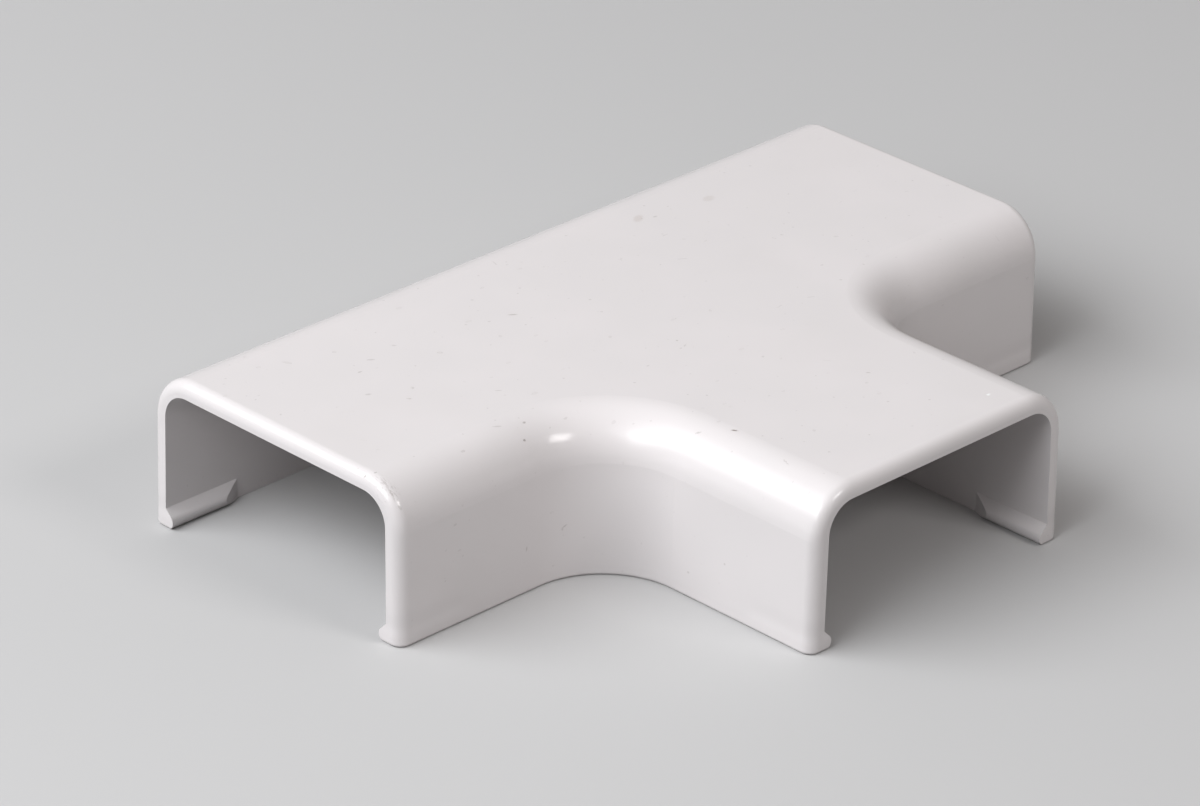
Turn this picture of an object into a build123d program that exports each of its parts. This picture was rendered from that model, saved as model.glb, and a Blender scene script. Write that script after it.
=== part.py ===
"""Clip-over cover for the tee joint of mini-trunking, moulded in one piece.

A roof on leaning side walls, open underneath and at the ends of its three arms.
The origin is where the centre lines of the run and the branch cross, on the
surface that the fitting stands against. The run lies along X, the branch points
to -Y, and the roof is up. Lengths are in millimetres and angles in degrees.
"""

import os

from build123d import *

# Outside, measured at the foot of the walls
run_width = 36.0
branch_width = 36.0
arm_length = 27.8  # each arm, from the wall it grows out of to its open end
height = 17.2
draft = 0.8  # lean of every side wall, inside and outside

# Shell
side_wall = 1.9
roof = 1.7
corner_radius = 9.0  # outer wall in the two inside corners of the tee
roof_fillet = 5.0  # outer walls into the roof
rim_round = 1.2  # outer edge round each open end
foot_round = 0.35  # outer edge along the foot

# Snap beads, inside the foot at each open end
bead_reach = 1.05  # how far the crest stands out of the wall
bead_nose = 0.85  # radius of the crest
bead_slope = 45.0  # upper side, against the foot
bead_length = 9.5  # from the open end, where the bead meets the wall
bead_ramp = 2.4  # how much sooner the crest ends

# Open ends, and how far a cutting form runs on past them
run_end = branch_width / 2 + arm_length
branch_end = run_width / 2 + arm_length
overrun = 2 * roof_fillet

# Frames of the open ends, with X running in along the arm
left_port = Location((-run_end, 0, 0), (0, 0, 0))
right_port = Location((run_end, 0, 0), (0, 0, 180))
branch_port = Location((0, -branch_end, 0), (0, 0, 90))


def tee_plan(run_across, branch_across, inside_radius):
    """Outline of the tee at the foot, its arms running on past their open ends."""
    with BuildSketch(Plane.XY) as plan:
        Rectangle(2 * (run_end + overrun), run_across)
        Rectangle(branch_across, branch_end + overrun, align=(Align.CENTER, Align.MAX))
        fillet(plan.vertices().sort_by_distance((0, 0, 0))[:2], inside_radius)
    return plan.sketch


def snap_beads(clear_width):
    """The two beads of an open end, in the frame of that end and rooted in its walls."""
    wall_y = -clear_width / 2
    root_y = wall_y - side_wall / 2
    crest_y = wall_y + bead_reach
    ramp_per_y = bead_ramp / bead_reach
    with BuildPart() as beads:
        with BuildSketch(Plane.YZ.offset(-overrun)):
            with BuildLine():
                sole = Line((root_y, 0), (crest_y - bead_nose, 0))
                nose = JernArc(sole @ 1, sole % 1, bead_nose, 180 - bead_slope)
                rise = PolarLine(
                    nose @ 1,
                    (nose @ 1).X - root_y,
                    direction=nose % 1,
                    length_mode=LengthMode.HORIZONTAL,
                )
                Line(rise @ 1, sole @ 0)
            make_face()
        extrude(amount=overrun + 2 * bead_length)
        with BuildSketch(Plane.XY):
            with BuildLine():
                Polyline(
                    (-overrun, root_y),
                    (bead_length + ramp_per_y * (wall_y - root_y), root_y),
                    (bead_length - bead_ramp, crest_y),
                    (-overrun, crest_y),
                    close=True,
                )
            make_face()
        extrude(amount=height, mode=Mode.INTERSECT)
        mirror(about=Plane.XZ)
    return beads.part


outer_plan = tee_plan(run_width, branch_width, corner_radius)
inner_plan = tee_plan(run_width - 2 * side_wall, branch_width - 2 * side_wall, corner_radius + side_wall)
run_beads = snap_beads(run_width - 2 * side_wall)
branch_beads = snap_beads(branch_width - 2 * side_wall)

# The space inside, with the beads left standing in it
with BuildPart() as cavity:
    extrude(inner_plan, amount=height - roof, taper=draft)
    fillet(cavity.faces().sort_by(Axis.Z)[-1].edges(), roof_fillet - side_wall)
    with Locations(left_port, right_port):
        add(run_beads, mode=Mode.SUBTRACT)
    with Locations(branch_port):
        add(branch_beads, mode=Mode.SUBTRACT)

with BuildPart() as tee_cover:
    extrude(outer_plan, amount=height, taper=draft)

    # The arms are cut off square
    with BuildSketch(Plane.XY):
        with Locations((0, run_width)):
            Rectangle(2 * run_end, branch_end + run_width, align=(Align.CENTER, Align.MAX))
    extrude(amount=height, mode=Mode.INTERSECT)

    # The roof runs down into the walls, round the inside corners too
    open_ends = tee_cover.faces().filter_by(Axis.X) + tee_cover.faces().filter_by(Axis.Y)
    fillet(tee_cover.faces().sort_by(Axis.Z)[-1].edges() - open_ends.edges(), roof_fillet)

    # Soft outer edge round each open end, and along the foot
    open_ends = tee_cover.faces().filter_by(Axis.X) + tee_cover.faces().filter_by(Axis.Y)
    fillet(open_ends.edges() - tee_cover.faces().sort_by(Axis.Z)[0].edges(), rim_round)
    fillet(tee_cover.faces().sort_by(Axis.Z)[0].edges(), foot_round)

    add(cavity.part, mode=Mode.SUBTRACT)

tee_cover.part.label = "tee_cover"
os.makedirs("parts", exist_ok=True)
export_step(tee_cover.part, "parts/tee_cover.step")
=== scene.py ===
"""Looks of a moulded tee cover for mini-trunking: white satin-gloss plastic on a pale floor.

The cover stands on its feet with its roof up. Lengths are in metres, and inside
its finish in millimetres.
"""

import math

import bpy
from mathutils import Matrix, Vector


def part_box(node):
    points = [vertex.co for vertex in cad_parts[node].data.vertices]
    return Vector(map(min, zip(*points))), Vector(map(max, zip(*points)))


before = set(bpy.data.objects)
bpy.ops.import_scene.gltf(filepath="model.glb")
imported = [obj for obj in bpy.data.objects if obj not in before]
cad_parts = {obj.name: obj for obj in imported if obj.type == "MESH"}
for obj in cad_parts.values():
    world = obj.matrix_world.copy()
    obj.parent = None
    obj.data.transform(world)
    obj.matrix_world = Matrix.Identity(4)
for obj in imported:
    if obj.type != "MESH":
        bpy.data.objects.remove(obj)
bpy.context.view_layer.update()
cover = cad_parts["tee_cover"]
low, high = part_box("tee_cover")
millimetre = 0.001

# Places on the cover in millimetres, from its box
run_end = high.x / millimetre
branch_end = -low.y / millimetre
roof_face = high.z / millimetre

# Colours of the plastic and of what lies on it
moulded_white = (0.757, 0.719, 0.716, 1.0)
flow_mark_white = (0.775, 0.733, 0.731, 1.0)
smudge_grey = (0.60, 0.56, 0.53, 1.0)
stain_brown = (0.42, 0.31, 0.25, 1.0)
dirt_brown = (0.26, 0.22, 0.20, 1.0)
# Near-white of a dust speck, also standing in for a painted glint where the speck catches light
dust_and_glint_white = (0.95, 0.95, 0.95, 1.0)

# Marks that the cover has picked up, in millimetres and degrees.
# On the roof: x, y, length, width, turn from +X, strength
roof_marks = [
    (-11.5, 2.3, 1.1, 0.3, -35, 0.55),
    (-7.8, -7.9, 0.5, 0.35, 45, 0.35),
    (-3.5, -13.0, 0.35, 0.25, -40, 0.55),
    (3.8, -10.5, 0.45, 0.3, 45, 0.3),
    (25.8, -7.1, 0.5, 0.3, -30, 0.35),
    (5.3, -30.8, 0.5, 0.25, -45, 0.5),
    (3.6, -32.2, 0.4, 0.25, 45, 0.35),
    (0.2, -21.3, 0.45, 0.25, 30, 0.4),
    (1.2, -22.8, 0.4, 0.25, 45, 0.35),
    (-7.7, -35.8, 0.45, 0.3, 45, 0.35),
    (-13.3, -30.5, 0.75, 0.3, -60, 0.95),
    (-24.2, -8.9, 0.65, 0.2, -40, 0.45),
    (-15.8, -0.4, 0.45, 0.3, 45, 0.3),
    (-22.7, 1.0, 0.55, 0.4, -45, 0.3),
    (-28.8, 4.5, 0.9, 0.35, -35, 0.25),
    (-30.0, -2.8, 0.5, 0.35, 45, 0.45),
    (-31.8, -4.3, 0.6, 0.35, -50, 0.45),
    (-34.1, -0.9, 0.7, 0.4, -30, 0.25),
    (-35.3, 9.6, 1.0, 0.35, -65, 0.3),
    (-37.5, 13.5, 0.45, 0.3, 45, 0.35),
    (-30.3, 8.2, 0.45, 0.35, 45, 0.3),
    (-25.0, 5.3, 0.6, 0.35, -40, 0.2),
]
# On fillets, walls and rims: place, length and width, turns about X, Y and Z, strength
edge_marks = [
    ((-15.3, -27.6, 16.5), (0.6, 0.25), (25, 0, -50), 0.4),
    ((-26.5, -14.9, 16.7), (0.4, 0.25), (25, 0, 0), 0.6),
    ((-27.8, -16.3, 15.8), (0.35, 0.3), (50, 0, 0), 0.7),
    ((-29.4, -14.1, 17.0), (1.0, 0.2), (15, 0, -25), 0.35),
    ((-14.2, -38.3, 17.0), (1.2, 0.15), (0, 10, 75), 0.35),
    ((-24.2, -18.2, 5.9), (0.6, 0.2), (90, -35, 20), 0.4),
    ((-24.5, -18.1, 5.6), (0.2, 0.45), (90, 0, 20), 0.35),
    ((-28.9, -17.9, 4.9), (0.2, 0.6), (90, 8, 0), 0.4),
    ((-17.9, -34.1, 5.6), (0.3, 0.25), (90, 0, -90), 0.25),
    ((-18.0, -29.3, 2.8), (0.35, 0.25), (90, 0, -90), 0.4),
    ((-44.9, -14.9, 16.7), (1.2, 0.25), (0, 28, -90), 0.4),
    ((-45.0, -15.9, 16.0), (1.0, 0.25), (0, 42, -90), 0.5),
    ((-45.0, -15.3, 16.2), (0.8, 0.2), (0, 34, -80), 0.35),
    ((-44.9, -17.0, 14.8), (0.55, 0.25), (0, 20, -60), 0.35),
    ((-44.7, -13.4, 17.1), (0.3, 0.2), (0, 0, 0), 0.7),
    ((-45.5, -12.8, 16.8), (0.3, 0.3), (0, -40, 0), 0.6),
]
# On the roof again, in the order of the roof marks
brown_spots = [
    (13.8, 9.8, 1.9, 1.1, 30, 0.2),
    (22.7, 8.3, 1.7, 1.2, 10, 0.15),
]
# A raised speck of dust on the roof by the branch end, tinted near-white as a painted glint of the
# light it catches
white_dust_and_painted_glint = (10.5, -42.1, 0.5, 0.38, 20, 0.9)
# Where the end of the left arm was knocked
scuffed_corner = (-45.0, -15.4, 16.2)


class Value:
    """A value that changes over a surface. Arithmetic on it adds Math nodes."""

    def __init__(self, finish, socket):
        self.finish = finish
        self.socket = socket

    def output(self, name):
        """Another output of the same node."""
        return Value(self.finish, self.socket.node.outputs[name])

    def maths(self, operation, first, second):
        return self.finish.node("ShaderNodeMath", {"operation": operation}, {0: first, 1: second})

    def __add__(self, other):
        return self.maths("ADD", self, other)

    def __radd__(self, other):
        return self.maths("ADD", other, self)

    def __sub__(self, other):
        return self.maths("SUBTRACT", self, other)

    def __rsub__(self, other):
        return self.maths("SUBTRACT", other, self)

    def __mul__(self, other):
        return self.maths("MULTIPLY", self, other)

    def __rmul__(self, other):
        return self.maths("MULTIPLY", other, self)

    def __abs__(self):
        return self.maths("ABSOLUTE", self, 0.0)


def socket_of(sockets, name):
    """A socket by its place, by its identifier, or else by its name."""
    if isinstance(name, int):
        return sockets[name]
    return next((socket for socket in sockets if socket.identifier == name), None) or sockets[name]


class Finish:
    """A material or world under construction."""

    def __init__(self, block):
        block.use_nodes = True
        self.block = block
        self.tree = block.node_tree
        self.tree.nodes.clear()

    def node(self, kind, settings=None, sockets=None, out=0):
        """Adds a node: its type, then its settings, then a value or a link for each socket."""
        made = self.tree.nodes.new(kind)
        for name, setting in (settings or {}).items():
            setattr(made, name, setting)
        for name, value in (sockets or {}).items():
            socket = socket_of(made.inputs, name)
            if isinstance(value, Value):
                self.tree.links.new(value.socket, socket)
            else:
                socket.default_value = value
        return Value(self, socket_of(made.outputs, out)) if made.outputs else None

    def vector(self, operation, first, second, out=0):
        return self.node("ShaderNodeVectorMath", {"operation": operation}, {0: first, 1: second}, out)

    def distance(self, place, centre, half_size, turns=(0, 0, 0)):
        """Distance from a centre, which is 1 at half the size along each turned axis."""
        sockets = {
            "Vector": place,
            "Location": centre,
            "Rotation": [math.radians(turn) for turn in turns],
            "Scale": half_size,
        }
        near = self.node("ShaderNodeMapping", {"vector_type": "TEXTURE"}, sockets)
        return self.vector("LENGTH", near, (0.0, 0.0, 0.0), "Value")

    def slope(self, value, start, end, top=1.0):
        """0 up to start and the top value from end on, with a smooth slope between."""
        sockets = {"Value": value, "From Min": start, "From Max": end, "To Max": top}
        return self.node("ShaderNodeMapRange", {"interpolation_type": "SMOOTHSTEP"}, sockets)

    def noise(self, place, size, detail):
        """Cloudy noise about 0, with features of the given size."""
        sockets = {"Vector": place, "Scale": 1 / size, "Detail": detail}
        return self.node("ShaderNodeTexNoise", None, sockets) - 0.5

    def tinted(self, amount, plain, tint):
        """One colour that turns to another by an amount from 0 to 1."""
        sockets = {"Factor_Float": amount, "A_Color": plain, "B_Color": tint}
        return self.node("ShaderNodeMix", {"data_type": "RGBA"}, sockets, "Result_Color")

    def most(self, values):
        """The largest of some values."""
        largest = values[0]
        for value in values[1:]:
            largest = largest.maths("MAXIMUM", largest, value)
        return largest

    def parts(self, vector):
        """The three components of a vector."""
        split = self.node("ShaderNodeSeparateXYZ", None, {"Vector": vector})
        return split, split.output("Y"), split.output("Z")


def torn_place(finish, place):
    """Places shifted a little by fine noise, so that a mark laid on them has a ragged edge."""
    reach = (0.22, -0.18, 0.12)
    sockets = {0: reach, "Scale": finish.noise(place, size=0.16, detail=0.0)}
    shift = finish.node("ShaderNodeVectorMath", {"operation": "SCALE"}, sockets)
    return finish.vector("ADD", place, shift)


def oval(finish, place, centre, size, turns, strength):
    """An oval mark with a soft edge, thin enough to stay in the face that it lies on."""
    thickness = 0.8
    half_size = (size[0] / 2, size[1] / 2, thickness / 2)
    distance = finish.distance(place, centre, half_size, turns)
    return finish.slope(distance, start=1.2, end=0.5, top=strength)


def roof_oval(finish, place, x, y, length, width, turn, strength):
    """An oval mark that lies flat on the roof."""
    return oval(finish, place, (x, y, roof_face), (length, width), (0, 0, turn), strength)


def specks(finish, place, spacing, largest):
    """Fine specks in the surface, at most one to a cell and each of its own size."""
    soft_edge = 0.04
    faintest = 0.05
    darkest = 0.32
    cells = finish.node("ShaderNodeTexVoronoi", None, {"Vector": place, "Scale": 1 / spacing})
    chance = finish.node("ShaderNodeSeparateColor", None, {"Color": cells.output("Color")})
    radius = chance * chance * largest
    strength = faintest + (darkest - faintest) * chance.output("Blue")
    return finish.slope(cells * spacing - radius, soft_edge, -soft_edge) * strength


def lint(finish, place):
    """Short dashes of lint that lie on the roof at every angle."""
    spacing = 6.5
    thickness = 0.1
    shortest = 0.24
    longest = 1.04
    soft_end = 0.12
    flat_cells = {"voronoi_dimensions": "2D"}
    cells = finish.node("ShaderNodeTexVoronoi", flat_cells, {"Vector": place, "Scale": 1 / spacing})
    chance = finish.node("ShaderNodeSeparateColor", None, {"Color": cells.output("Color")})
    away = finish.vector("SUBTRACT", place, cells.output("Position"))
    turned = finish.node(
        "ShaderNodeVectorRotate",
        {"rotation_type": "Z_AXIS"},
        {"Vector": away, "Center": (0.0, 0.0, 0.0), "Angle": chance * math.tau},
    )
    along, across, _ = finish.parts(turned)
    half_length = shortest / 2 + (longest - shortest) / 2 * chance.output("Green")
    strength = finish.slope(chance.output("Blue"), start=0.4, end=0.9, top=0.22)
    dash = finish.slope(abs(across), thickness, 0.0)
    return dash * finish.slope(abs(along) - half_length, 0.0, -soft_end) * strength


def scratches(finish, place):
    """Streaks round the scuffed corner."""
    reach = (1.2, 2.6, 2.4)
    knocked = finish.slope(finish.distance(place, scuffed_corner, reach), start=1.0, end=0.2)
    drawn_out = finish.vector("MULTIPLY", place, (1.5, 0.4, 0.6))
    streaks = finish.noise(drawn_out, size=0.22, detail=1.0)
    return finish.slope(streaks, start=0.06, end=0.16) * knocked


def sinks(finish, place):
    """Shallow bands in the walls opposite the snap beads, where the thick plastic shrank."""
    bead_length = 9.5
    fade = 2.5
    band_foot = 0.9
    band_middle = 2.1
    band_top = 3.7
    depth = 0.05
    run_start = run_end - bead_length
    branch_start = branch_end - bead_length
    along_run, along_branch, height = finish.parts(place)
    at_beads = finish.most([
        finish.slope(abs(along_run), run_start, run_start + fade),
        finish.slope(along_branch, -branch_start, -branch_start - fade),
    ])
    above_foot = finish.slope(height, band_foot, band_middle)
    below_top = finish.slope(height, band_top, band_middle, depth)
    return above_foot * below_top * at_beads


def white_moulding():
    """White plastic with a satin gloss, as it left its mould and as it has been handled since."""
    finish = Finish(bpy.data.materials.new("white_moulding"))
    surface = finish.node("ShaderNodeTexCoord", out="Object")
    place = finish.vector("MULTIPLY", surface, (1 / millimetre,) * 3)
    torn = torn_place(finish, place)
    facing = surface.output("Normal")
    upward = finish.parts(facing)[2]

    # What faces the middle of the passage is the inside, which is less polished
    out_of_middle = finish.vector("SUBTRACT", place, (0.0, 0.0, roof_face / 2))
    inside = finish.slope(finish.vector("DOT_PRODUCT", out_of_middle, facing, "Value"), 0.0, -1.0)
    outside = 1 - inside

    # Flow marks from the mould, and smudges from handling
    flow_marks = finish.slope(finish.noise(place, size=11.0, detail=2.0), start=-0.2, end=0.2)
    smudges = finish.slope(finish.noise(place, size=19.0, detail=2.0), start=0.02, end=0.16) * outside

    # Specks all over, fainter on the walls, and lint where it can settle
    wall_share = 0.55
    settled = finish.slope(upward, start=0.2, end=0.85)
    drawn_out = finish.vector("MULTIPLY", torn, (0.7, 1.4, 1.0))
    large_specks = specks(finish, drawn_out, spacing=2.2, largest=0.24)
    small_specks = specks(finish, torn, spacing=1.1, largest=0.13)
    fine_dirt = finish.most([large_specks, small_specks]) * (wall_share + (1 - wall_share) * settled)
    settled_lint = lint(finish, torn) * settled * outside
    scratched = scratches(finish, place) * outside

    # All that is dark, then what is brown, and the white speck that is dust with a painted glint
    scratch_darkness = 0.34
    marks = [roof_oval(finish, torn, *mark) for mark in roof_marks]
    marks += [oval(finish, torn, *mark) for mark in edge_marks]
    marks += [fine_dirt, settled_lint, scratched * scratch_darkness]
    dirt = finish.most(marks)
    stains = finish.most([roof_oval(finish, torn, *spot) for spot in brown_spots])
    # Dust speck whose near-white tint is partly a painted glint
    dust_and_glint = roof_oval(finish, torn, *white_dust_and_painted_glint)

    smudge_strength = 0.05
    colour = finish.tinted(flow_marks, moulded_white, flow_mark_white)
    colour = finish.tinted(smudges * smudge_strength, colour, smudge_grey)
    colour = finish.tinted(stains, colour, stain_brown)
    colour = finish.tinted(dirt, colour, dirt_brown)
    # The dust speck is painted near-white, which paints in the glint it catches as well as its colour
    colour = finish.tinted(dust_and_glint, colour, dust_and_glint_white)

    # Satin outside, and duller inside and where it is soiled
    satin = 0.165
    roughness = satin + 0.02 * flow_marks + 0.06 * smudges + 0.2 * inside + 0.4 * dirt

    # Relief in millimetres: orange peel, a matt grain inside, the sinks and the scratches
    peel_depth = 0.0016
    grain_depth = 0.006
    scratch_depth = 0.007
    peel = finish.noise(place, size=1.7, detail=0.0) * peel_depth
    grain = finish.noise(place, size=0.3, detail=1.0) * inside * grain_depth
    relief = peel + grain - sinks(finish, place) * outside - scratched * scratch_depth
    bump = finish.node(
        "ShaderNodeBump",
        None,
        {"Strength": 1.0, "Distance": millimetre, "Height": relief},
    )

    plastic = finish.node(
        "ShaderNodeBsdfPrincipled",
        None,
        {"Base Color": colour, "Roughness": roughness, "Normal": bump, "IOR": 1.5},
    )
    finish.node("ShaderNodeOutputMaterial", None, {"Surface": plastic})
    return finish.block


def seen(finish):
    """1 where a surface is seen, also in a gloss or through glass, and 0 where it only gives light."""
    path = finish.node("ShaderNodeLightPath", out="Is Camera Ray")
    return finish.most([path, path.output("Is Glossy Ray"), path.output("Is Transmission Ray")])


def pale_floor():
    """A matt pale sheet that throws little light back, and that hides nothing from below."""
    finish = Finish(bpy.data.materials.new("pale_floor"))
    thrown_back = (0.30, 0.30, 0.30, 1.0)
    as_seen = (0.575, 0.568, 0.565, 1.0)
    colour = finish.tinted(seen(finish), thrown_back, as_seen)
    sheet = finish.node("ShaderNodeBsdfDiffuse", None, {"Color": colour})
    clear = finish.node("ShaderNodeBsdfTransparent")
    below = finish.node("ShaderNodeNewGeometry", out="Backfacing")
    both = finish.node("ShaderNodeMixShader", None, {0: below, 1: sheet, 2: clear})
    finish.node("ShaderNodeOutputMaterial", None, {"Surface": both})
    return finish.block


def studio():
    """Even light from all round, with a pale background."""
    finish = Finish(bpy.data.worlds.new("studio"))
    warm_white = (1.0, 0.968, 0.958, 1.0)
    fill = 0.215
    backdrop = 0.52
    strength = fill + (backdrop - fill) * seen(finish)
    light = finish.node("ShaderNodeBackground", None, {"Color": warm_white, "Strength": strength})
    finish.node("ShaderNodeOutputWorld", None, {"Surface": light})
    return finish.block


def soft_lamp(name, azimuth, elevation, distance, width, depth, radiance, colour):
    """A soft box that faces the cover from a compass azimuth, 0 being +Y and 90 +X."""
    turn = math.radians(azimuth)
    tilt = math.radians(elevation)
    towards = Vector((
        math.sin(turn) * math.cos(tilt),
        math.cos(turn) * math.cos(tilt),
        math.sin(tilt),
    ))
    light = bpy.data.lights.new(name, "AREA")
    light.shape = "RECTANGLE"
    light.size, light.size_y = width, depth
    light.energy = radiance * math.pi * width * depth
    light.color = colour
    lamp = bpy.data.objects.new(name, light)
    lamp.location = towards * distance
    lamp.rotation_mode = "QUATERNION"
    lamp.rotation_quaternion = towards.to_track_quat("Z", "Y")
    bpy.context.scene.collection.objects.link(lamp)


# The cover keeps its moulded shape and takes its finish
cover.material_slots[0].material = white_moulding()

# Floor, a hair under the feet
floor_half = 3.0
floor_gap = 0.02 * millimetre
floor_plan = [(-1, -1), (1, -1), (1, 1), (-1, 1)]
floor_corners = [(floor_half * x, floor_half * y, -floor_gap) for x, y in floor_plan]
floor_mesh = bpy.data.meshes.new("floor")
floor_mesh.from_pydata(floor_corners, [], [range(4)])
floor_mesh.materials.append(pale_floor())
floor = bpy.data.objects.new("floor", floor_mesh)
bpy.context.scene.collection.objects.link(floor)

# Camera at the photograph's viewing angle. Azimuth 0 looks along +Y.
frame_width = 1200
view_azimuth = math.radians(-45.149)
view_elevation = math.radians(26.947)
view_roll = math.radians(1.107)
view_distance = 0.62123
aim = Vector((0.005191, 0.006302, 0.0))
focal_pixels = 5985.6

back = Vector((
    math.sin(view_azimuth) * math.cos(view_elevation),
    -math.cos(view_azimuth) * math.cos(view_elevation),
    math.sin(view_elevation),
))
level = Vector((math.cos(view_azimuth), math.sin(view_azimuth), 0.0))
rise = back.cross(level)
right = math.cos(view_roll) * level + math.sin(view_roll) * rise
up = back.cross(right)
camera = bpy.data.objects.new("camera", bpy.data.cameras.new("camera"))
camera.data.sensor_width = 36.0
camera.data.lens = camera.data.sensor_width * focal_pixels / frame_width
camera.data.clip_start = 0.01
camera.data.clip_end = 20.0
turned = Matrix((right, up, back)).transposed().to_4x4()
camera.matrix_world = Matrix.Translation(aim + back * view_distance) @ turned
bpy.context.scene.collection.objects.link(camera)
bpy.context.scene.camera = camera

# Light: a broad soft key from the left with a fainter one round it, and a small lamp in front
soft_lamp(
    "key_softbox", azimuth=-72, elevation=42, distance=0.8, width=1.0, depth=0.40, radiance=4.35,
    colour=(0.95, 0.975, 1.0),
)
soft_lamp(
    "key_surround", azimuth=-76, elevation=45, distance=0.85, width=1.35, depth=0.80, radiance=1.25,
    colour=(0.95, 0.975, 1.0),
)
soft_lamp(
    "front_lamp", azimuth=168, elevation=38, distance=1.2, width=0.39, depth=0.27, radiance=9.0,
    colour=(1.0, 0.975, 0.965),
)
bpy.context.scene.world = studio()
bpy.context.scene.view_settings.view_transform = "Standard"
